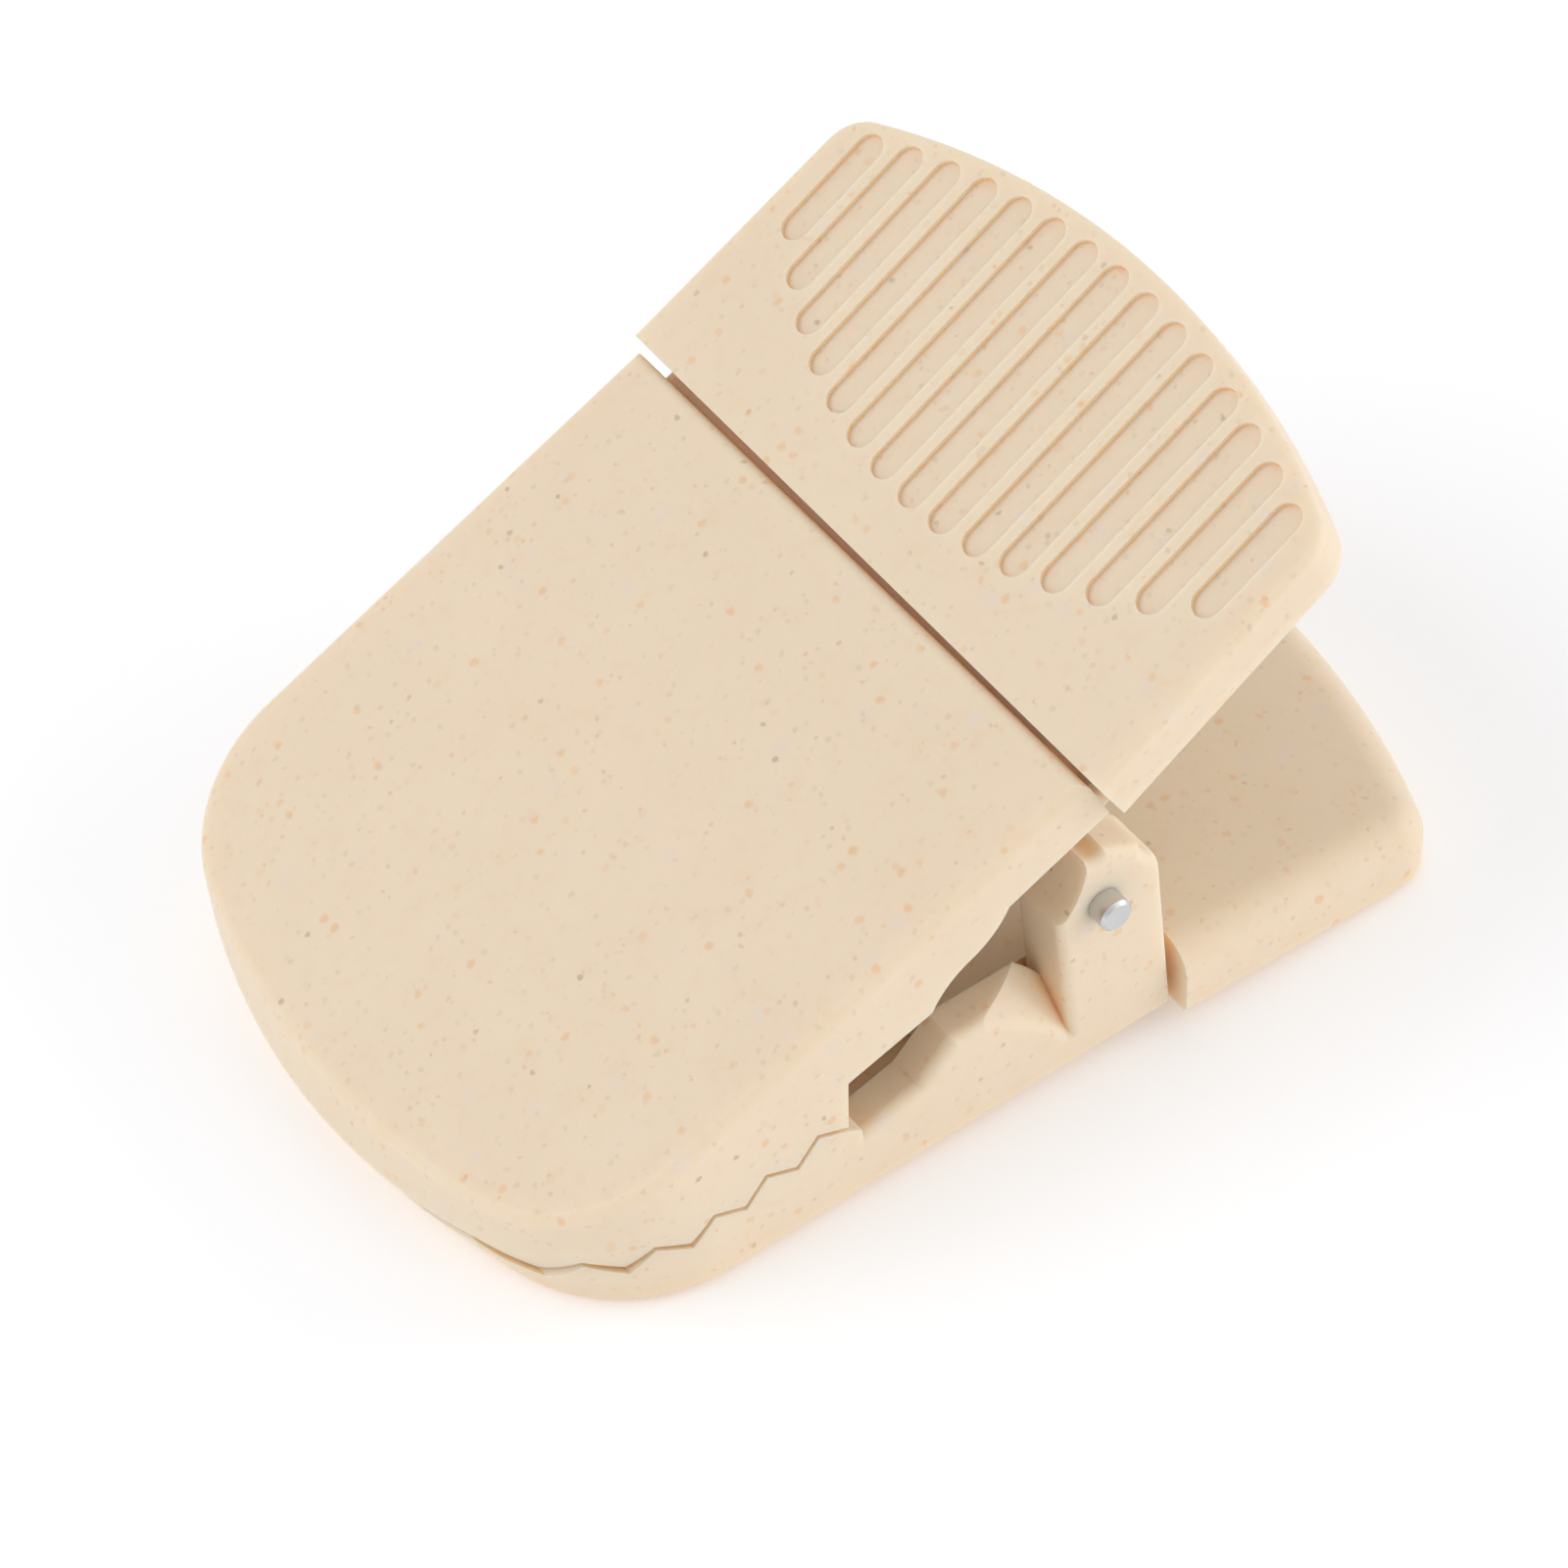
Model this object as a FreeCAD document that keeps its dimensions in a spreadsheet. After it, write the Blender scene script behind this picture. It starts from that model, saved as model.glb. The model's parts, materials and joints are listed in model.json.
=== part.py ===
"""Spring bag clip: two toothed jaw covers, two thumb levers, a hinge pin and a torsion spring.

Each half of the clip is drawn in its own shell frame: origin on the hinge axis, +X towards the
thumb end, +Z outwards through the half's outer face.  The upper half stands upright in that frame,
and the lower half is the same design turned half a turn about X.
The assembled clip lies on the nose and the thumb edge of its lower half, with the jaws closed.
"""
import FreeCAD, Part
import math
import os
import Sketcher

Vector = FreeCAD.Vector
Placement = FreeCAD.Placement
Rotation = FreeCAD.Rotation

# Driving dimensions: alias, value (millimetres or degrees), meaning.
DIMENSIONS = [
    ("pivot_place_x", 5.390, "hinge axis ahead of the middle of the whole clip"),
    ("pivot_place_z", 11.715, "hinge axis above the table"),
    ("lower_tilt", 1.831, "slope of the lower cover on the table"),
    ("jaw_angle", 21.57, "angle between the two outer faces when closed"),
    ("kink_angle", 5.2, "bend between a cover and its thumb lever"),
    ("upper_height", 8.73, "hinge axis to the upper outer face"),
    ("lower_height", 10.68, "hinge axis to the lower outer face"),
    ("upper_joint", 3.21, "hinge axis to the joint line on the upper face"),
    ("lower_joint", 3.55, "hinge axis to the joint line on the lower face"),
    ("joint_clearance", 0.16, "cover and lever each stand this far off the joint line"),
    ("joint_skew", 0.12, "the joint line opens this much towards the ear side"),
    ("half_width", 20.0, "half width of a jaw cover"),
    ("jaw_reach", 39.3, "joint line to the tip of the nose"),
    ("nose_radius", 40.0, "plan radius of the nose"),
    ("corner_radius", 10.0, "plan radius of the nose corners"),
    ("nose_inset", 1.7, "outer face ends this far behind the nose"),
    ("face_nose_radius", 51.0, "plan radius of the front of the outer face"),
    ("face_corner_radius", 9.0, "plan radius of the corners of the outer face"),
    ("nose_slope_depth", 2.7, "depth over which the nose slopes"),
    ("plate_thickness", 2.0, "jaw cover plate"),
    ("wall_thickness", 2.2, "side walls"),
    ("rear_wall_depth", 3.2, "plain side wall beside the hinge"),
    ("step_wall_depth", 5.3, "plain side wall in front of the hinge"),
    ("mouth_wall_depth", 4.75, "plain side wall behind the teeth"),
    ("step_start", 3.7, "hinge axis to the start of the wall's step"),
    ("step_radius", 5.25, "radius of both curves of the step"),
    ("pad_start", 15.4, "hinge axis to the toothed pad"),
    ("tooth_pitch", 3.24, "pitch of the cross teeth"),
    ("tooth_height", 1.1, "height of the cross teeth"),
    ("first_tooth", 16.8, "hinge axis to the first tooth"),
    ("mate_offset", 1.62, "hinge axis to the middle of the bite line"),
    ("bite_gap", 0.34, "gap between the two rows of teeth"),
    ("table_reach", 200.0, "side of the block that stands for the table"),
    ("hump_height", 7.1, "crest of the ear side wall over its outer face"),
    ("hump_run", 5.9, "front of the ear to the crest of the ear side wall"),
    ("hump_foot", 3.0, "inner edge of the ear side wall over the plate, at the ear"),
    ("hump_fall_radius", 12.0, "curve of the ear side wall between its crest and the ear"),
    ("hump_thickness", 2.4, "ear side wall"),
    ("hump_shoulder", 5.1, "ear side wall beside the mouth"),
    ("hump_mouth", 4.2, "ear side wall behind the teeth"),
    ("ear_front", 2.68, "hinge axis to the front of the ear"),
    ("ear_reach", 4.0, "hinge axis to the top of the ear"),
    ("ear_thickness", 4.0, "ear"),
    ("tab_half_width", 20.9, "half width of a thumb lever at the joint line"),
    ("tab_taper", 1.7, "slope of the lever's sides, in degrees"),
    ("tab_reach", 20.75, "joint line to the end of the thumb lever"),
    ("tab_end_radius", 51.0, "plan radius of the lever's end"),
    ("tab_corner_radius", 2.6, "plan radius of the lever's end corners"),
    ("tab_thickness", 4.3, "thumb lever"),
    ("tab_inner_round", 2.1, "rounding of the lever's inner edges"),
    ("tab_outer_round", 0.45, "rounding of the lever's outer edges"),
    ("groove_count", 15, "grip grooves"),
    ("groove_pitch", 2.54, "pitch of the grip grooves"),
    ("groove_radius", 0.92, "half width of a groove"),
    ("groove_depth", 0.32, "depth of a groove"),
    ("groove_front", 3.45, "joint line to the middle groove"),
    ("groove_front_arc", 29.5, "radius of the arc of the grooves' front ends"),
    ("groove_end_margin", 0.85, "grooves stop this far from the lever's end"),
    ("tongue_half_width", 15.6, "half width of the lever's tongue"),
    ("root_half_width", 18.8, "half width of the tongue's root at the joint line"),
    ("tongue_reach", 9.0, "hinge axis to the front of the tongue"),
    ("tongue_thickness", 2.2, "tongue under the cover plate"),
    ("tongue_seat", 0.02, "the tongue stands this far off the cover plate"),
    ("knuckle_radius", 3.0, "knuckle around the hinge pin"),
    ("knuckle_thickness", 2.6, "knuckle"),
    ("pin_radius", 0.95, "hinge pin"),
    ("pin_bore_radius", 1.0, "bore that turns on the pin"),
    ("pin_half_length", 21.2, "half length of the hinge pin"),
    ("pin_bevel", 0.18, "bevel of the pin's ends"),
    ("coil_radius", 2.05, "mean radius of the spring coil"),
    ("coil_width", 8.4, "length of the spring coil"),
    ("wire_radius", 0.7, "spring wire"),
    ("leg_length", 15.0, "spring legs"),
    ("face_round", 0.7, "rounding of the covers' outer edges"),
    ("ear_round", 0.6, "rounding of the ear's edges"),
    ("hump_round", 0.7, "rounding of the ear side wall's edges"),
]

os.makedirs("parts", exist_ok=True)
doc = FreeCAD.newDocument("bag_clip")
sheet = doc.addObject("Spreadsheet::Sheet", "dims")
for row, (alias, value, meaning) in enumerate(DIMENSIONS, start=1):
    sheet.set("A%d" % row, meaning)
    sheet.set("B%d" % row, str(value))
    sheet.setAlias("B%d" % row, alias)
doc.recompute()


class Dim:
    """A size that knows its value and the spreadsheet expression that drives it."""

    def __init__(self, value, text):
        self.value = float(value)
        self.text = text

    def join(self, other, sign, value, swap=False):
        first, second = (other, self) if swap else (self, other)
        return Dim(value, "(%s %s %s)" % (first.text, sign, second.text))

    def __add__(self, other):
        other = as_dim(other)
        return self.join(other, "+", self.value + other.value)

    def __sub__(self, other):
        other = as_dim(other)
        return self.join(other, "-", self.value - other.value)

    def __rsub__(self, other):
        other = as_dim(other)
        return self.join(other, "-", other.value - self.value, swap=True)

    def __mul__(self, other):
        other = as_dim(other)
        return self.join(other, "*", self.value * other.value)

    def __truediv__(self, other):
        other = as_dim(other)
        return self.join(other, "/", self.value / other.value)

    def __neg__(self):
        return Dim(-self.value, "(0 - %s)" % self.text)

    __radd__ = __add__
    __rmul__ = __mul__


def as_dim(number):
    return number if isinstance(number, Dim) else Dim(number, "%g" % number)


def size(alias):
    return Dim(sheet.get(alias), "dims." + alias)


def sine(angle):
    return Dim(math.sin(math.radians(angle.value)), "sin(%s)" % angle.text)


def cosine(angle):
    return Dim(math.cos(math.radians(angle.value)), "cos(%s)" % angle.text)


def arc_sine(ratio):
    return Dim(math.degrees(math.asin(ratio.value)), "asin(%s)" % ratio.text)


def root(number):
    return Dim(math.sqrt(number.value), "sqrt(%s)" % number.text)


def turned(x, z, angle):
    """A point (x, z) seen from a frame that is turned by -angle about the hinge axis."""
    return (x * cosine(angle) + z * sine(angle), z * cosine(angle) - x * sine(angle))


def new_body(name):
    return doc.addObject("PartDesign::Body", name)


def new_sketch(body, role, name, offset=0.0):
    """A sketch on one of the body's origin planes, moved along the plane's normal."""
    plane = [item for item in body.Origin.OriginFeatures if item.Role == role][0]
    sketch = body.newObject("Sketcher::SketchObject", body.Name + "_" + name)
    sketch.AttachmentSupport = [(plane, "")]
    sketch.MapMode = "FlatFace"
    offset = as_dim(offset)
    sketch.setExpression("AttachmentOffset.Base.z", offset.text)
    return sketch


def bind(sketch, bindings):
    """Add constraints in one step; each binding is (constraint, driving dimension or None)."""
    numbers = sketch.addConstraint([constraint for constraint, dim in bindings])
    for number, (constraint, dim) in zip(numbers, bindings):
        if dim is not None:
            sketch.setExpression("Constraints[%d]" % number, dim.text)


def fix_point(edge, end, x, y):
    """Bindings that hold one end of an edge at (x, y)."""
    x = as_dim(x)
    y = as_dim(y)
    return [
        (Sketcher.Constraint("DistanceX", edge, end, x.value), x),
        (Sketcher.Constraint("DistanceY", edge, end, y.value), y),
    ]


def bow_middle(start, end, radius, side):
    """Middle point of the short arc from start to end, bowed to the right for side +1."""
    chord = end - start
    normal = Vector(chord.y, -chord.x, 0).normalize()
    rise = radius - math.sqrt(max(0.0, radius * radius - chord.Length * chord.Length / 4))
    return (start + end) * 0.5 + normal * (rise * side)


def end_number(sketch, edge, point):
    """1 or 2, whichever end of the edge lies on the point (an arc may be stored either way)."""
    return 1 if (sketch.getPoint(edge, 1) - point).Length < 1e-6 else 2


def outline(sketch, corners, bows=None):
    """Bindings of a closed outline through the corners; bows maps an edge to (radius, side)."""
    bows = bows or {}
    points = [Vector(as_dim(x).value, as_dim(y).value, 0) for x, y in corners]
    first = sketch.GeometryCount
    count = len(points)
    for number, start in enumerate(points):
        end = points[(number + 1) % count]
        if number in bows:
            radius, side = bows[number]
            middle = bow_middle(start, end, as_dim(radius).value, side)
            sketch.addGeometry(Part.Arc(start, middle, end), False)
        else:
            sketch.addGeometry(Part.LineSegment(start, end), False)
    bindings = []
    for number, start in enumerate(points):
        edge = first + number
        before = first + (number - 1) % count
        own_end = end_number(sketch, edge, start)
        end_before = end_number(sketch, before, start)
        bindings.append((Sketcher.Constraint("Coincident", before, end_before, edge, own_end), None))
        bindings += fix_point(edge, own_end, *corners[number])
        if number in bows:
            radius = as_dim(bows[number][0])
            bindings.append((Sketcher.Constraint("Radius", edge, radius.value), radius))
    return bindings


def circle(sketch, x, y, radius):
    """Bindings of a circle."""
    radius = as_dim(radius)
    centre = Vector(as_dim(x).value, as_dim(y).value, 0)
    edge = sketch.addGeometry(Part.Circle(centre, Vector(0, 0, 1), radius.value), False)
    return [(Sketcher.Constraint("Radius", edge, radius.value), radius)] + fix_point(edge, 3, x, y)


def pad(body, sketch, length, backwards=False):
    feature = body.newObject("PartDesign::Pad", sketch.Name + "_pad")
    feature.Profile = sketch
    feature.Reversed = backwards
    length = as_dim(length)
    feature.Length = length.value
    feature.setExpression("Length", length.text)
    sketch.Visibility = False
    return feature


def pocket(body, sketch, length):
    """A pocket that must take material away."""
    doc.recompute()
    before = body.Shape.Volume
    feature = body.newObject("PartDesign::Pocket", sketch.Name + "_pocket")
    feature.Profile = sketch
    length = as_dim(length)
    feature.Length = length.value
    feature.setExpression("Length", length.text)
    doc.recompute()
    if not body.Shape.Volume < before - 1e-3:
        raise RuntimeError(feature.Name + " cuts nothing")
    return feature


def drill(body, radius, low_y, high_y):
    """A bore on the hinge axis, right through between two distances along Y."""
    sketch = new_sketch(body, "XZ_Plane", "bore", 1 - as_dim(low_y))
    bind(sketch, circle(sketch, 0, 0, radius))
    return pocket(body, sketch, as_dim(high_y) - low_y + 2)


def slab(body, name, corners, low_y, high_y, bows=None):
    """A side-view outline made solid between two distances along Y."""
    sketch = new_sketch(body, "XZ_Plane", name, -as_dim(high_y))
    bind(sketch, outline(sketch, corners, bows))
    return pad(body, sketch, as_dim(high_y) - low_y)


def round_edges(base, name, groups):
    """A Part::Fillet of the base; groups is a list of (radius, chooser)."""
    doc.recompute()
    chosen = []
    for radius, chooser in groups:
        picked = [n for n, edge in enumerate(base.Shape.Edges, start=1) if chooser(edge)]
        if not picked:
            raise RuntimeError(name + ": no edge found")
        chosen += [(n, radius.value, radius.value) for n in picked]
    fillet = doc.addObject("Part::Fillet", name)
    fillet.Base = base
    fillet.Edges = chosen
    return fillet


def bite_line(upper):
    """Corners of the toothed edge, from the first tooth to past the nose, in the shell frame."""
    half_angle = size("jaw_angle") / 2
    middle = size("mate_offset") + size("bite_gap") / 2
    level = size("bite_gap") - middle if upper else middle
    corners = []
    for number in range(14):
        along = -(size("first_tooth") + size("tooth_pitch") * (number / 2))
        is_tip = (number % 2 == 0) == upper
        height = level + size("tooth_height") / (-2 if is_tip else 2)
        corners.append(turned(along, height, half_angle))
    return corners


def nose_outline(sketch, rear_x, nose_x, half_width, corner, nose):
    """Plan of a cover: straight rear and sides, two corner arcs and a nose arc."""
    nose_centre = nose_x + nose
    corner_y = half_width - corner
    centre_gap = nose - corner
    corner_x = nose_centre - root(centre_gap * centre_gap - corner_y * corner_y)
    tangent_x = nose_centre - (nose_centre - corner_x) * nose / centre_gap
    tangent_y = corner_y * nose / centre_gap
    corners = [
        (rear_x, -half_width),
        (rear_x, half_width),
        (corner_x, half_width),
        (tangent_x, tangent_y),
        (tangent_x, -tangent_y),
        (corner_x, -half_width),
    ]
    bind(sketch, outline(sketch, corners, {2: (corner, 1), 3: (nose, 1), 4: (corner, 1)}))


def build_envelope(name, height, joint):
    """The outer form of a cover: the outer face, the sloping nose and upright sides."""
    body = new_body(name)
    nose_x = joint - size("jaw_reach")
    rear_x = joint - size("joint_clearance")
    face = new_sketch(body, "XY_Plane", "face", height)
    nose_outline(face, rear_x, nose_x + size("nose_inset"), size("half_width"),
                 size("face_corner_radius"), size("face_nose_radius"))
    skirt = new_sketch(body, "XY_Plane", "skirt", height - size("nose_slope_depth"))
    nose_outline(skirt, rear_x, nose_x, size("half_width"), size("corner_radius"), size("nose_radius"))
    loft = body.newObject("PartDesign::AdditiveLoft", name + "_loft")
    loft.Profile = face
    loft.Sections = [skirt]
    loft.Ruled = True
    below = new_sketch(body, "XY_Plane", "below", height - size("nose_slope_depth"))
    nose_outline(below, rear_x, nose_x, size("half_width"), size("corner_radius"), size("nose_radius"))
    pad(body, below, height + size("ear_reach") + 1, backwards=True)
    return body


def build_ear_wall(name, height):
    """The side wall in front of the ear: its crest falls towards the ear, most at the outside."""
    body = new_body(name)
    half = size("half_width")
    pad_x = -size("pad_start")
    ear_front = -size("ear_front")
    buried = ear_front + size("ear_round") + 0.1
    crest_x = ear_front - size("hump_run")
    crest_z = height - size("hump_height")
    under_plate = height - size("plate_thickness")
    inside = under_plate + 0.5
    slab(body, "side", [
        (pad_x - 1, inside),
        (buried, inside),
        (buried, crest_z),
        (crest_x - 0.9, crest_z),
        (crest_x - 3.2, height - size("hump_shoulder")),
        (pad_x, height - size("hump_mouth")),
        (pad_x - 1, height - size("hump_mouth")),
    ], half - size("hump_thickness"), half)
    foot_z = under_plate - size("hump_foot")
    start_z = crest_z - size("hump_foot")
    fall = new_sketch(body, "XZ_Plane", "fall", size("hump_thickness") - half)
    bind(fall, outline(fall, [
        (buried + 1, foot_z),
        (ear_front, foot_z),
        (crest_x, start_z),
        (crest_x, start_z - 6),
        (buried + 1, start_z - 6),
    ], {1: (size("hump_fall_radius"), -1)}))
    cut = pocket(body, fall, size("hump_thickness"))
    cut.UseCustomVector = True
    cut.AlongSketchNormal = True
    cut.Direction = FreeCAD.Vector(0, size("hump_thickness").value, size("hump_foot").value)
    doc.recompute()

    def on_crest(edge):
        box = edge.BoundBox
        outside = box.YMin > half.value - 1e-3
        return outside and box.XLength > 0.05 and box.ZMin < under_plate.value - 0.01

    return round_edges(body, name + "_rounded", [(size("hump_round"), on_crest)])


def build_ear(name, height, rear_x, bore_radius):
    """The ear that carries one end of the hinge pin."""
    body = new_body(name)
    half = size("half_width")
    ear_inside = half - size("ear_thickness")
    inside = height - size("plate_thickness") + 0.5
    ear_front = -size("ear_front")
    ear_top = -size("ear_reach")
    slab(body, "side", [
        (ear_front, inside),
        (rear_x, inside),
        (rear_x, ear_top + 2.95),
        (rear_x - 0.8, ear_top + 1.63),
        (0.43, ear_top + 0.36),
        (-0.71, ear_top + 0.61),
        (ear_front, ear_top + 4.1),
    ], ear_inside, half, {2: (1.5, 1), 4: (0.9, 1), 5: (6.0, 1)})
    drill(body, bore_radius, ear_inside, half)

    def on_rim(edge):
        box = edge.BoundBox
        in_front = box.XLength < 1e-3 and abs(box.XMin - ear_front.value) < 1e-3
        on_bore = abs(box.XLength - 2 * bore_radius.value) < 0.1
        crown = box.ZMax < 0.2 and box.XLength > 1e-3
        return box.YLength < 1e-3 and (in_front or crown) and not on_bore

    return round_edges(body, name + "_rounded", [(size("ear_round"), on_rim)])


def build_cover_form(name, height, joint, upper):
    """Plate, toothed pad, side walls and ear of a cover, still square at the nose."""
    body = new_body(name)
    front_x = -(size("jaw_reach") + 1)
    rear_x = joint - size("joint_clearance")
    half = size("half_width")
    pad_x = -size("pad_start")
    teeth = bite_line(upper)
    under_plate = height - size("plate_thickness")
    slab(body, "plate", [
        (front_x, height),
        (rear_x, height),
        (rear_x, under_plate),
        (pad_x, under_plate),
        (pad_x, height - size("mouth_wall_depth")),
    ] + teeth + [(front_x, teeth[-1][1])], -half, half)

    inside = under_plate + 0.5
    step_x = -size("step_start")
    drop = size("step_wall_depth") - size("rear_wall_depth")
    run = root(size("step_radius") * drop * 4 - drop * drop)
    rear_z = height - size("rear_wall_depth")
    step_z = height - size("step_wall_depth")
    mouth_z = height - size("mouth_wall_depth")
    slab(body, "plain_wall", [
        (pad_x - 1, inside),
        (rear_x, inside),
        (rear_x, rear_z),
        (step_x, rear_z),
        (step_x - run / 2, (rear_z + step_z) / 2),
        (step_x - run, step_z),
        (pad_x + 0.2, mouth_z),
        (pad_x - 1, mouth_z),
    ], -half, size("wall_thickness") - half,
        {3: (size("step_radius"), -1), 4: (size("step_radius"), 1)})
    return body


def build_cover(name, height, joint, upper, placement):
    rear_x = joint - size("joint_clearance")
    fuse = doc.addObject("Part::MultiFuse", name + "_fuse")
    fuse.Shapes = [
        build_cover_form(name + "_form", height, joint, upper),
        build_ear_wall(name + "_wall", height),
        build_ear(name + "_ear", height, rear_x, size("pin_bore_radius" if upper else "pin_radius")),
    ]
    fuse.Refine = True
    common = doc.addObject("Part::Common", name + "_common")
    common.Base = fuse
    common.Tool = build_envelope(name + "_envelope", height, joint)
    common.Refine = True
    doc.recompute()
    top = height.value
    half = size("half_width").value

    def on_face_rim(edge):
        box = edge.BoundBox
        return box.ZMin > top - 1e-4 and (box.XMax < rear_x.value - 1e-3 or box.YLength > 1.9 * half)

    cover = round_edges(common, name, [(size("face_round"), on_face_rim)])
    cover.Label = name
    cover.Placement = placement
    return cover


def cut_grooves(body, level, joint_x):
    """Round-ended grip grooves whose ends follow two arcs."""
    radius = size("groove_radius")
    front_arc = size("groove_front_arc")
    front_centre = joint_x + size("groove_front") + front_arc
    end_arc = size("tab_end_radius")
    end_centre = joint_x + size("tab_reach") - end_arc
    count = int(size("groove_count").value)
    for number in range(count):
        y = size("groove_pitch") * (number - (count - 1) / 2)
        front = front_centre - root(front_arc * front_arc - y * y) + radius
        end = end_centre + root(end_arc * end_arc - y * y) - size("groove_end_margin") - radius
        sketch = new_sketch(body, "XY_Plane", "groove%d" % number, level)
        bind(sketch, outline(sketch, [
            (front, y - radius),
            (end, y - radius),
            (end + radius, y),
            (end, y + radius),
            (front, y + radius),
            (front - radius, y),
        ], {1: (radius, 1), 2: (radius, 1), 4: (radius, 1), 5: (radius, 1)}))
        pocket(body, sketch, size("groove_depth"))


def round_flat_rim(body, level, rear_of, alias):
    """Fillet the edges that lie at one level and reach behind rear_of."""
    base = body.Tip
    doc.recompute()
    names = []
    for number, edge in enumerate(body.Shape.Edges, start=1):
        box = edge.BoundBox
        at_level = abs(box.ZMin - level.value) < 1e-4 and abs(box.ZMax - level.value) < 1e-4
        if at_level and box.XMax > rear_of:
            names.append("Edge%d" % number)
    fillet = body.newObject("PartDesign::Fillet", body.Name + "_" + alias)
    fillet.Base = (base, names)
    fillet.setExpression("Radius", "dims." + alias)


def lever_corner(front_x, end_centre):
    """Tangent points of a lever's end corner: on its sloping side, then on its end arc."""
    wide = size("tab_half_width")
    corner = size("tab_corner_radius")
    end_arc = size("tab_end_radius")
    along_x = cosine(size("tab_taper"))
    along_y = sine(size("tab_taper"))
    from_x = front_x - along_y * corner - end_centre
    from_y = wide - along_x * corner
    ahead = from_x * along_x - from_y * along_y
    reach = end_arc - corner
    run = root(ahead * ahead + reach * reach - from_x * from_x - from_y * from_y) - ahead
    centre_x = from_x + run * along_x
    centre_y = from_y - run * along_y
    side_point = (front_x + run * along_x, wide - run * along_y)
    end_point = (end_centre + centre_x * end_arc / reach, centre_y * end_arc / reach)
    return side_point, end_point


def build_lever(name, height, joint, placement):
    """Thumb lever, drawn in a frame turned by the kink so that its outer face is level."""
    kink = size("kink_angle")
    body = new_body(name + "_form")
    joint_x, face_z = turned(joint, height, kink)
    front_x = joint_x + size("joint_clearance")
    skew = size("joint_skew")
    wide = size("tab_half_width")
    corner = size("tab_corner_radius")
    end_arc = size("tab_end_radius")
    end_centre = joint_x + size("tab_reach") - end_arc
    ear_side, ear_end = lever_corner(front_x + skew, end_centre)
    plain_side, plain_end = lever_corner(front_x - skew, end_centre)
    plan = new_sketch(body, "XY_Plane", "plan", face_z)
    bind(plan, outline(plan, [
        (front_x - skew, -wide),
        (plain_side[0], -plain_side[1]),
        (plain_end[0], -plain_end[1]),
        ear_end,
        ear_side,
        (front_x + skew, wide),
    ], {1: (corner, 1), 2: (end_arc, 1), 3: (corner, 1)}))
    pad(body, plan, size("tab_thickness"), backwards=True)
    doc.recompute()

    rear_of = front_x.value + skew.value + 0.01
    round_flat_rim(body, face_z - size("tab_thickness"), rear_of, "tab_inner_round")
    round_flat_rim(body, face_z, rear_of, "tab_outer_round")
    cut_grooves(body, face_z, joint_x)

    seat_z = height - size("plate_thickness") - size("tongue_seat")
    under_z = seat_z - size("tongue_thickness")
    tongue_front = -size("tongue_reach")
    tongue_half = size("tongue_half_width")
    slab(body, "tongue", [
        turned(tongue_front, seat_z, kink),
        turned(joint + 1.4, seat_z, kink),
        turned(joint + 1.4, under_z, kink),
        turned(tongue_front, under_z, kink),
    ], -tongue_half, tongue_half)

    root_half = size("root_half_width")
    slab(body, "root", [
        turned(joint - 0.08, seat_z, kink),
        turned(joint + 1.4, seat_z, kink),
        turned(joint + 1.4, under_z, kink),
        turned(joint - 0.08, under_z, kink),
    ], -root_half, root_half)

    knuckle = size("knuckle_radius")
    slab(body, "knuckle", [
        turned(-knuckle, under_z + 0.5, kink),
        turned(-knuckle, as_dim(0), kink),
        turned(as_dim(0), -knuckle, kink),
        turned(knuckle, as_dim(0), kink),
        turned(knuckle, under_z + 0.5, kink),
    ], -tongue_half, size("knuckle_thickness") - tongue_half, {1: (knuckle, -1), 2: (knuckle, -1)})
    drill(body, size("pin_bore_radius"), -tongue_half, size("knuckle_thickness") - tongue_half)
    body.Label = name
    body.Placement = placement
    return body


def build_pin(name, placement):
    body = new_body(name + "_form")
    sketch = new_sketch(body, "XY_Plane", "section")
    radius = size("pin_radius")
    bevel = size("pin_bevel")
    half = size("pin_half_length")
    bind(sketch, outline(sketch, [
        (0, -half),
        (radius - bevel, -half),
        (radius, bevel - half),
        (radius, half - bevel),
        (radius - bevel, half),
        (0, half),
    ]))
    turn = body.newObject("PartDesign::Revolution", name + "_turn")
    turn.Profile = sketch
    turn.ReferenceAxis = (sketch, ["V_Axis"])
    turn.Angle = 360
    body.Label = name
    body.Placement = placement
    return body


def leg(name, angle, side):
    """One straight spring leg, tangent to the coil, along +X turned up by the angle."""
    cylinder = doc.addObject("Part::Cylinder", name)
    cylinder.setExpression("Radius", "dims.wire_radius")
    cylinder.setExpression("Height", "dims.leg_length")
    reach = size("coil_radius").value * side
    tilt = math.radians(angle.value)
    inset = (size("coil_width") / 2 - size("wire_radius")).value * side
    start = Vector(-reach * math.sin(tilt), inset, reach * math.cos(tilt))
    cylinder.Placement = Placement(start, Rotation(Vector(0, 1, 0), 90 - angle.value))
    return cylinder


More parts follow.
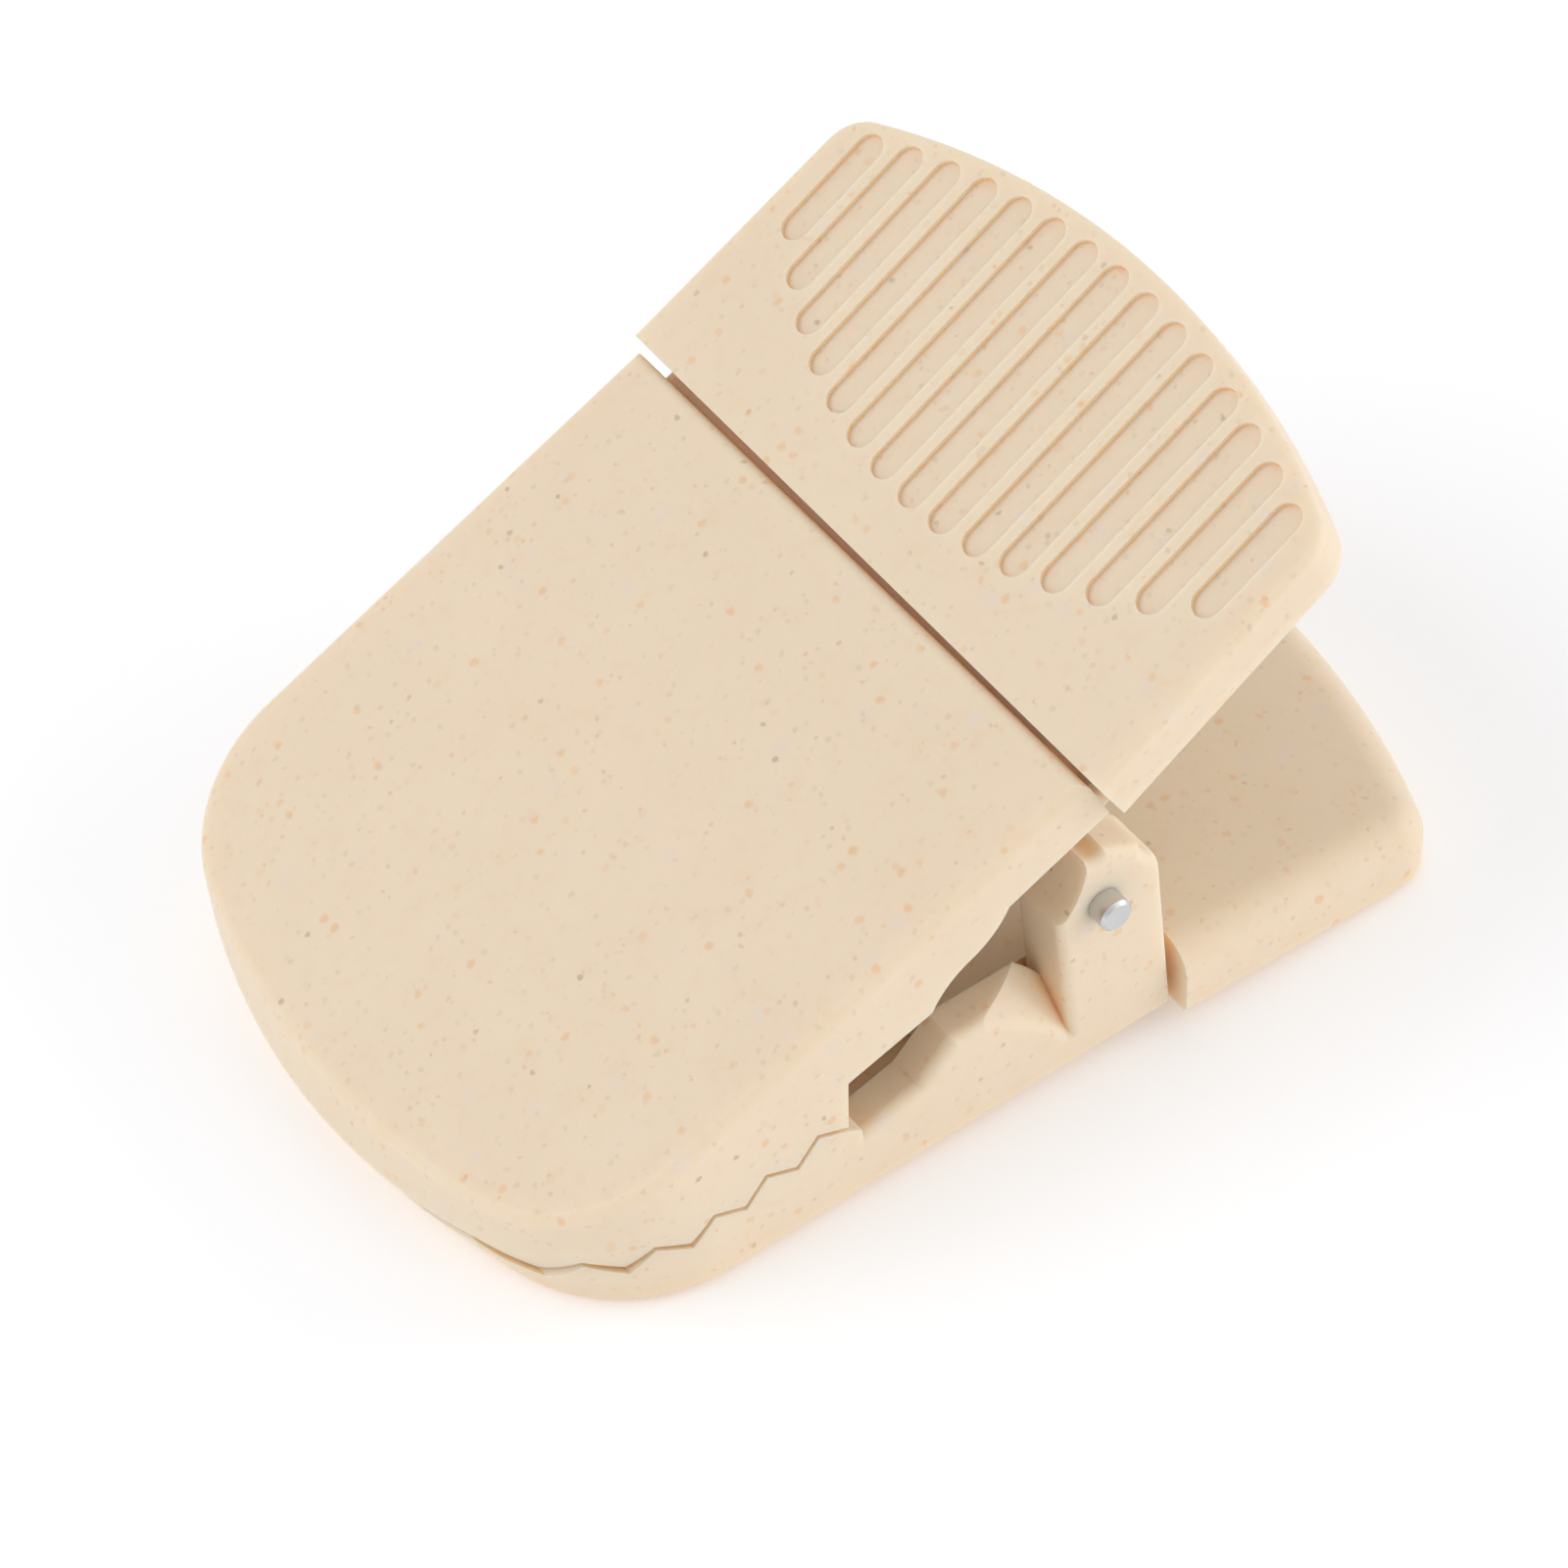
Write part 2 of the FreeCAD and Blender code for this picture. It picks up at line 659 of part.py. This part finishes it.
def build_spring(name, placement):
    """The torsion spring: its coil as a plain tube, with one leg on each thumb lever."""
    outer = doc.addObject("Part::Cylinder", name + "_outer")
    outer.setExpression("Radius", "dims.coil_radius + dims.wire_radius")
    outer.setExpression("Height", "dims.coil_width")
    inner = doc.addObject("Part::Cylinder", name + "_inner")
    inner.setExpression("Radius", "dims.coil_radius - dims.wire_radius")
    inner.setExpression("Height", "dims.coil_width")
    along_y = Rotation(Vector(1, 0, 0), 90)
    for cylinder in (outer, inner):
        cylinder.Placement = Placement(Vector(0, size("coil_width").value / 2, 0), along_y)
    tube = doc.addObject("Part::Cut", name + "_tube")
    tube.Base = outer
    tube.Tool = inner
    kink = size("kink_angle")
    free = size("coil_radius") + size("wire_radius") + size("tab_thickness") + 0.06
    upper_face = turned(size("upper_joint"), size("upper_height"), kink)[1]
    lower_face = turned(size("lower_joint"), size("lower_height"), kink)[1]
    upper_spread = arc_sine((upper_face - free) / size("leg_length"))
    lower_spread = arc_sine((lower_face - free) / size("leg_length"))
    upper_angle = size("lower_tilt") + size("jaw_angle") + kink + upper_spread
    lower_angle = size("lower_tilt") - kink - lower_spread
    upper_leg = leg(name + "_upper_leg", upper_angle, 1)
    lower_leg = leg(name + "_lower_leg", lower_angle, -1)
    spring = doc.addObject("Part::MultiFuse", name)
    spring.Shapes = [tube, upper_leg, lower_leg]
    spring.Label = name
    spring.Placement = placement
    return spring


def stand_flat(piece, placement):
    """Trim a piece where it would pass below the table, which leaves a small flat to stand on."""
    name = piece.Label
    piece.Label = name + "_untrimmed"
    piece.Placement = Placement()
    reach = size("table_reach").value
    below = doc.addObject("Part::Box", name + "_below")
    for side in ("Length", "Width", "Height"):
        setattr(below, side, reach)
        below.setExpression(side, "dims.table_reach")
    table = Placement(Vector(-reach / 2, -reach / 2, -reach), Rotation())
    below.Placement = placement.inverse().multiply(table)
    flat = doc.addObject("Part::Cut", name + "_on_table")
    flat.Base = piece
    flat.Tool = below
    flat.Refine = True
    flat.Label = name
    flat.Placement = placement
    return flat


def shell_placement(tilt, flipped):
    """Place a shell frame on the hinge axis; tilt lifts its thumb end, in degrees."""
    pivot = Vector(size("pivot_place_x").value, 0, size("pivot_place_z").value)
    turn = Rotation(Vector(0, 1, 0), -tilt.value)
    if flipped:
        turn = turn.multiply(Rotation(Vector(1, 0, 0), 180))
    return Placement(pivot, turn)


def check_and_export(parts):
    doc.recompute()
    for item in doc.Objects:
        if "Invalid" in item.State or "Error" in item.State:
            raise RuntimeError("%s failed: %s" % (item.Name, item.State))
    for part in parts:
        shape = part.Shape
        if shape.isNull() or not shape.isValid() or len(shape.Solids) != 1:
            raise RuntimeError("%s is not one valid solid" % part.Label)
        shape.exportStep("parts/%s.step" % part.Label)
        box = shape.BoundBox
        print("%-20s %8.1f mm3  X %.2f..%.2f  Y %.2f..%.2f  Z %.2f..%.2f" % (
            part.Label, shape.Volume, box.XMin, box.XMax, box.YMin, box.YMax, box.ZMin, box.ZMax))


upper_tilt = size("lower_tilt") + size("jaw_angle")
upper_lever_tilt = upper_tilt + size("kink_angle")
lower_lever_tilt = size("lower_tilt") - size("kink_angle")
lower_cover_place = shell_placement(size("lower_tilt"), True)
lower_lever_place = shell_placement(lower_lever_tilt, True)
check_and_export([
    build_cover("upper_jaw_cover", size("upper_height"), size("upper_joint"), True,
                shell_placement(upper_tilt, False)),
    build_lever("upper_thumb_lever", size("upper_height"), size("upper_joint"),
                shell_placement(upper_lever_tilt, False)),
    stand_flat(build_cover("lower_jaw_cover", size("lower_height"), size("lower_joint"), False,
                           lower_cover_place), lower_cover_place),
    stand_flat(build_lever("lower_thumb_lever", size("lower_height"), size("lower_joint"),
                           lower_lever_place), lower_lever_place),
    build_pin("hinge_pin", shell_placement(as_dim(0), False)),
    build_spring("torsion_spring", shell_placement(as_dim(0), False)),
])
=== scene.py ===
"""Looks of the bag clip: speckled satin plastic, a steel pin, a wound spring, and a white studio."""
import json
import math

import bmesh
import bpy
from mathutils import Matrix, Vector


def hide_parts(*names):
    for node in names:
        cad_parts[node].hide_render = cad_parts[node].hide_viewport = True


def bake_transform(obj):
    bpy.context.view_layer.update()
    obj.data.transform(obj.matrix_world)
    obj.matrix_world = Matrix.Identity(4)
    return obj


MM = 0.001
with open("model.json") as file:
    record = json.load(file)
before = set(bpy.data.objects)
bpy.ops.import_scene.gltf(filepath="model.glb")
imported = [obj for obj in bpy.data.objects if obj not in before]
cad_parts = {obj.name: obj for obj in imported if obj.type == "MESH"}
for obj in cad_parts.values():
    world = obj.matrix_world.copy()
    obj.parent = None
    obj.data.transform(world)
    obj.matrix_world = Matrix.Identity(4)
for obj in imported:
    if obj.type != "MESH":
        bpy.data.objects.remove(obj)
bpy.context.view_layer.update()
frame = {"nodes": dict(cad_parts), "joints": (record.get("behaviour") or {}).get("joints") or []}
HINGE = Vector(frame["joints"][0]["pos_m"])


class Nodes:
    """Short calls for adding shader nodes to one material."""

    def __init__(self, name):
        self.material = bpy.data.materials.new(name)
        self.material.use_nodes = True
        self.tree = self.material.node_tree
        self.shader = self.tree.nodes["Principled BSDF"]

    def add(self, kind, settings=None, inputs=None):
        node = self.tree.nodes.new(kind)
        for key, value in (settings or {}).items():
            setattr(node, key, value)
        for key, value in (inputs or {}).items():
            self.put(node, key, value)
        return node

    def put(self, node, key, value):
        socket = node.inputs[key]
        if isinstance(value, bpy.types.NodeSocket):
            self.tree.links.new(value, socket)
        else:
            socket.default_value = value

    def place(self):
        return self.add("ShaderNodeTexCoord").outputs["Object"]

    def noise(self, where, scale, detail=2.0, roughness=0.5):
        node = self.add("ShaderNodeTexNoise", inputs={
            "Vector": where, "Scale": scale, "Detail": detail, "Roughness": roughness})
        return node.outputs["Fac"]

    def ramp(self, value, low, high):
        """0 below low and 1 above high, smoothly."""
        node = self.add("ShaderNodeMapRange", {"interpolation_type": "SMOOTHSTEP"}, {
            "Value": value, "From Min": low, "From Max": high})
        return node.outputs["Result"]

    def math(self, operation, first, second):
        node = self.add("ShaderNodeMath", {"operation": operation}, {0: first, 1: second})
        return node.outputs[0]

    def tint(self, base, colour, amount):
        node = self.add("ShaderNodeMix", {"data_type": "RGBA"}, {"Factor": amount})
        self.put(node, 6, base)
        self.put(node, 7, colour)
        return node.outputs[2]

    def wobbled(self, where, scale, amount):
        """The coordinates pushed about by noise, so that specks are ragged."""
        push = self.add("ShaderNodeTexNoise", inputs={"Vector": where, "Scale": scale, "Detail": 2.0})
        centred = self.add("ShaderNodeVectorMath", {"operation": "SUBTRACT"}, {
            0: push.outputs["Color"], 1: (0.5, 0.5, 0.5)})
        scaled = self.add("ShaderNodeVectorMath", {"operation": "SCALE"}, {
            0: centred.outputs[0], "Scale": amount})
        moved = self.add("ShaderNodeVectorMath", {"operation": "ADD"}, {0: where, 1: scaled.outputs[0]})
        return moved.outputs[0]

    def specks(self, where, scale, share, size):
        """A mask of round specks in some of the cells of a Voronoi pattern."""
        cells = self.add("ShaderNodeTexVoronoi", inputs={"Vector": where, "Scale": scale})
        near = self.ramp(cells.outputs["Distance"], size, size * 0.45)
        tone = self.add("ShaderNodeSeparateColor", inputs={0: cells.outputs["Color"]})
        chosen = self.math("GREATER_THAN", tone.outputs[0], 1 - share)
        depth = self.math("MULTIPLY", near, self.ramp(tone.outputs[1], -0.4, 1.0))
        return self.math("MULTIPLY", depth, chosen)


def speckled_plastic(name, shift):
    """Straw-filled plastic: pale cream, faintly mottled, with tan and grey-brown specks, and painted warm shade
    in recesses and gaps.
    """
    n = Nodes(name)
    place = n.add("ShaderNodeVectorMath", {"operation": "ADD"}, {0: n.place(), 1: shift}).outputs[0]
    ragged = n.wobbled(place, 2600.0, 0.35 * MM)
    colour = n.tint((0.795, 0.655, 0.480, 1), (0.830, 0.700, 0.535, 1), n.noise(place, 140.0, 4.0, 0.6))
    colour = n.tint(colour, (0.80, 0.58, 0.38, 1),
                    n.math("MULTIPLY", n.ramp(n.noise(ragged, 900.0, 3.0, 0.6), 0.50, 0.70), 0.20))
    colour = n.tint(colour, (0.78, 0.66, 0.62, 1),
                    n.math("MULTIPLY", n.specks(ragged, 560.0, 0.20, 0.36), 0.40))
    colour = n.tint(colour, (0.80, 0.42, 0.16, 1),
                    n.math("MULTIPLY", n.specks(ragged, 1050.0, 0.15, 0.36), 0.46))
    colour = n.tint(colour, (0.72, 0.38, 0.18, 1),
                    n.math("MULTIPLY", n.specks(ragged, 2100.0, 0.12, 0.36), 0.40))
    colour = n.tint(colour, (0.54, 0.45, 0.31, 1),
                    n.math("MULTIPLY", n.specks(ragged, 1500.0, 0.42, 0.34), 0.28))
    colour = n.tint(colour, (0.36, 0.25, 0.15, 1),
                    n.math("MULTIPLY", n.specks(ragged, 1350.0, 0.05, 0.30), 0.50))
    # Painted shade: a warm orange tint painted into creases, recesses and gaps found by ambient occlusion,
    # standing in for shade and for light glowing through the plastic.
    shade_occlusion = n.add("ShaderNodeAmbientOcclusion", {"samples": 4}, {"Distance": 4.5 * MM})
    painted_shade_mask = n.ramp(shade_occlusion.outputs["AO"], 0.55, 0.08)
    colour = n.tint(colour, (1.0, 0.66, 0.36, 1), n.math("MULTIPLY", painted_shade_mask, 0.75))
    n.put(n.shader, "Base Color", colour)
    n.put(n.shader, "Roughness", n.add("ShaderNodeMapRange", inputs={
        "Value": n.noise(place, 900.0, 3.0), "To Min": 0.40, "To Max": 0.56}).outputs[0])
    n.put(n.shader, "IOR", 1.5)
    n.put(n.shader, "Subsurface Weight", 0.6)
    n.put(n.shader, "Subsurface Radius", (1.0, 0.78, 0.58))
    n.put(n.shader, "Subsurface Scale", 1.5 * MM)
    bump = n.add("ShaderNodeBump", inputs={
        "Strength": 0.25, "Distance": 0.03 * MM, "Height": n.noise(place, 2600.0, 4.0, 0.6)})
    n.put(n.shader, "Normal", bump.outputs[0])
    return n.material


def steel(name, tone, stretch):
    """Drawn steel: fine marks along one axis and a slightly uneven finish."""
    n = Nodes(name)
    place = n.add("ShaderNodeVectorMath", {"operation": "MULTIPLY"}, {0: n.place(), 1: stretch}).outputs[0]
    marks = n.noise(place, 4200.0, 4.0, 0.65)
    clouds = n.noise(n.place(), 700.0, 3.0)
    dark = tuple(0.82 * part for part in tone) + (1,)
    n.put(n.shader, "Base Color", n.tint(dark, tuple(tone) + (1,), clouds))
    n.put(n.shader, "Metallic", 1.0)
    n.put(n.shader, "Roughness", n.add("ShaderNodeMapRange", inputs={
        "Value": marks, "To Min": 0.26, "To Max": 0.44}).outputs[0])
    bump = n.add("ShaderNodeBump", inputs={"Strength": 0.3, "Distance": 0.01 * MM, "Height": marks})
    n.put(n.shader, "Normal", bump.outputs[0])
    return n.material


def paint(node, material):
    """Give a CAD node its material."""
    piece = frame["nodes"][node]
    piece.data.materials.clear()
    piece.data.materials.append(material)


def wound_spring():
    """The torsion spring as one bent wire: a leg, a close coil about the hinge, and a leg."""
    wire = 0.7 * MM
    coil = 2.05 * MM
    half_coil = 3.5 * MM
    leg = 14.6 * MM
    lower_turn = math.radians(-15.70)
    upper_turn = math.radians(33.55)
    turns = 4
    steps = 40 * turns
    start_angle = lower_turn - math.pi / 2
    end_angle = upper_turn + math.pi / 2 - 2 * math.pi * (turns + 1)
    path = []
    for step in range(12, 0, -1):
        along = leg * step / 12
        path.append(HINGE + Vector((
            coil * math.cos(start_angle) + along * math.cos(lower_turn), -half_coil,
            coil * math.sin(start_angle) + along * math.sin(lower_turn))))
    for step in range(steps + 1):
        share = step / steps
        angle = start_angle + (end_angle - start_angle) * share
        path.append(HINGE + Vector((
            coil * math.cos(angle), half_coil * (2 * share - 1), coil * math.sin(angle))))
    for step in range(1, 13):
        along = leg * step / 12
        path.append(HINGE + Vector((
            coil * math.cos(end_angle) + along * math.cos(upper_turn), half_coil,
            coil * math.sin(end_angle) + along * math.sin(upper_turn))))
    return tube("spring_wire", path, wire, 20)


def tube(name, path, radius, sides):
    """A round wire along the path, with domed ends."""
    mesh = bmesh.new()
    rings = []
    side = Vector((0, 1, 0))
    count = len(path)
    stations = []
    for number, point in enumerate(path):
        ahead = (path[min(number + 1, count - 1)] - path[max(number - 1, 0)]).normalized()
        stations.append((point, ahead, 1.0))
    first, last = stations[0], stations[-1]
    dome = [(0.98, 0.20), (0.83, 0.56), (0.56, 0.83)]
    stations = [(first[0] - first[1] * radius * reach, first[1], width) for width, reach in reversed(dome)] \
        + stations + [(last[0] + last[1] * radius * reach, last[1], width) for width, reach in dome]
    for point, ahead, width in stations:
        up = ahead.cross(side).normalized()
        across = up.cross(ahead).normalized()
        ring = []
        for step in range(sides):
            turn = 2 * math.pi * step / sides
            ring.append(mesh.verts.new(point + (up * math.cos(turn) + across * math.sin(turn)) * radius * width))
        rings.append(ring)
    for before, after in zip(rings, rings[1:]):
        for step in range(sides):
            follow = (step + 1) % sides
            mesh.faces.new((before[step], before[follow], after[follow], after[step]))
    mesh.faces.new(rings[0][::-1])
    mesh.faces.new(rings[-1])
    bmesh.ops.recalc_face_normals(mesh, faces=mesh.faces)
    data = bpy.data.meshes.new(name)
    mesh.to_mesh(data)
    mesh.free()
    for face in data.polygons:
        face.use_smooth = True
    piece = bpy.data.objects.new(name, data)
    bpy.context.scene.collection.objects.link(piece)
    return piece


def white_floor():
    """A white studio floor, lit so that only soft shadows show."""
    bpy.ops.mesh.primitive_plane_add(size=3.0, location=(0, 0, 0))
    floor = bpy.context.object
    floor.name = "studio_floor"
    n = Nodes("floor_white")
    n.put(n.shader, "Base Color", (0.84, 0.845, 0.865, 1))
    n.put(n.shader, "Roughness", 0.9)
    n.put(n.shader, "Specular IOR Level", 0.1)
    n.put(n.shader, "Emission Color", (1.0, 1.0, 1.0, 1))
    n.put(n.shader, "Emission Strength", 0.20)
    floor.data.materials.append(n.material)
    return floor


def softbox(name, aim, direction, distance, size, power, colour=(1, 1, 1)):
    data = bpy.data.lights.new(name, "AREA")
    data.shape = "DISK"
    data.size = size
    data.energy = power
    data.color = colour
    lamp = bpy.data.objects.new(name, data)
    towards = Vector(direction).normalized()
    lamp.location = Vector(aim) + towards * distance
    lamp.rotation_euler = towards.to_track_quat("Z", "Y").to_euler()
    bpy.context.scene.collection.objects.link(lamp)
    return lamp


def studio_light():
    world = bpy.data.worlds.new("studio")
    world.use_nodes = True
    background = world.node_tree.nodes["Background"]
    background.inputs["Color"].default_value = (1.0, 1.0, 1.0, 1)
    background.inputs["Strength"].default_value = 0.72
    bpy.context.scene.world = world
    middle = (0, 0, 0.012)
    softbox("key_softbox", middle, (-0.9, 0.45, 1.0), 0.55, 0.42, 0.85)
    softbox("fill_softbox", middle, (0.4, -1.0, 0.28), 0.60, 0.40, 0.42)
    softbox("side_softbox", middle, (1.0, -0.45, 0.40), 0.60, 0.36, 0.85)


def photo_camera():
    """A long lens, looking down on the clip from the front left."""
    azimuth = math.radians(-28.797)
    elevation = math.radians(46.615)
    roll = math.radians(-6.983)
    towards = Vector((
        math.sin(azimuth) * math.cos(elevation), -math.cos(azimuth) * math.cos(elevation),
        math.sin(elevation)))
    level = Vector((math.cos(azimuth), math.sin(azimuth), 0))
    upright = towards.cross(level)
    right = level * math.cos(roll) + upright * math.sin(roll)
    up = upright * math.cos(roll) - level * math.sin(roll)
    data = bpy.data.cameras.new("camera")
    data.sensor_width = 36
    data.lens = 128.85
    data.shift_x = 0.0386
    data.shift_y = -0.0079
    data.clip_start = 0.01
    data.clip_end = 20
    camera = bpy.data.objects.new("camera", data)
    turn = Matrix((right, up, towards)).transposed().to_4x4()
    camera.matrix_world = Matrix.Translation(Vector((-99.732, -173.880, 220.792)) * MM) @ turn
    bpy.context.scene.collection.objects.link(camera)
    bpy.context.scene.camera = camera
    bpy.context.scene.view_settings.view_transform = "Standard"


def dress_frame():
    paint("upper_jaw_cover", speckled_plastic("upper_cover_plastic", (0, 0, 0)))
    paint("upper_thumb_lever", speckled_plastic("upper_lever_plastic", (0.31, 0.02, 0.05)))
    paint("lower_jaw_cover", speckled_plastic("lower_cover_plastic", (0.11, 0.47, 0.03)))
    paint("lower_thumb_lever", speckled_plastic("lower_lever_plastic", (0.07, 0.13, 0.59)))
    paint("hinge_pin", steel("pin_steel", (0.70, 0.71, 0.72), (1, 0.15, 1)))


def dress_spring():
    spring = wound_spring()
    spring.data.materials.append(steel("spring_steel", (0.56, 0.55, 0.54), (0.4, 1, 0.4)))
    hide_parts("torsion_spring")
    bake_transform(spring)


dress_frame()
dress_spring()
white_floor()
studio_light()
photo_camera()
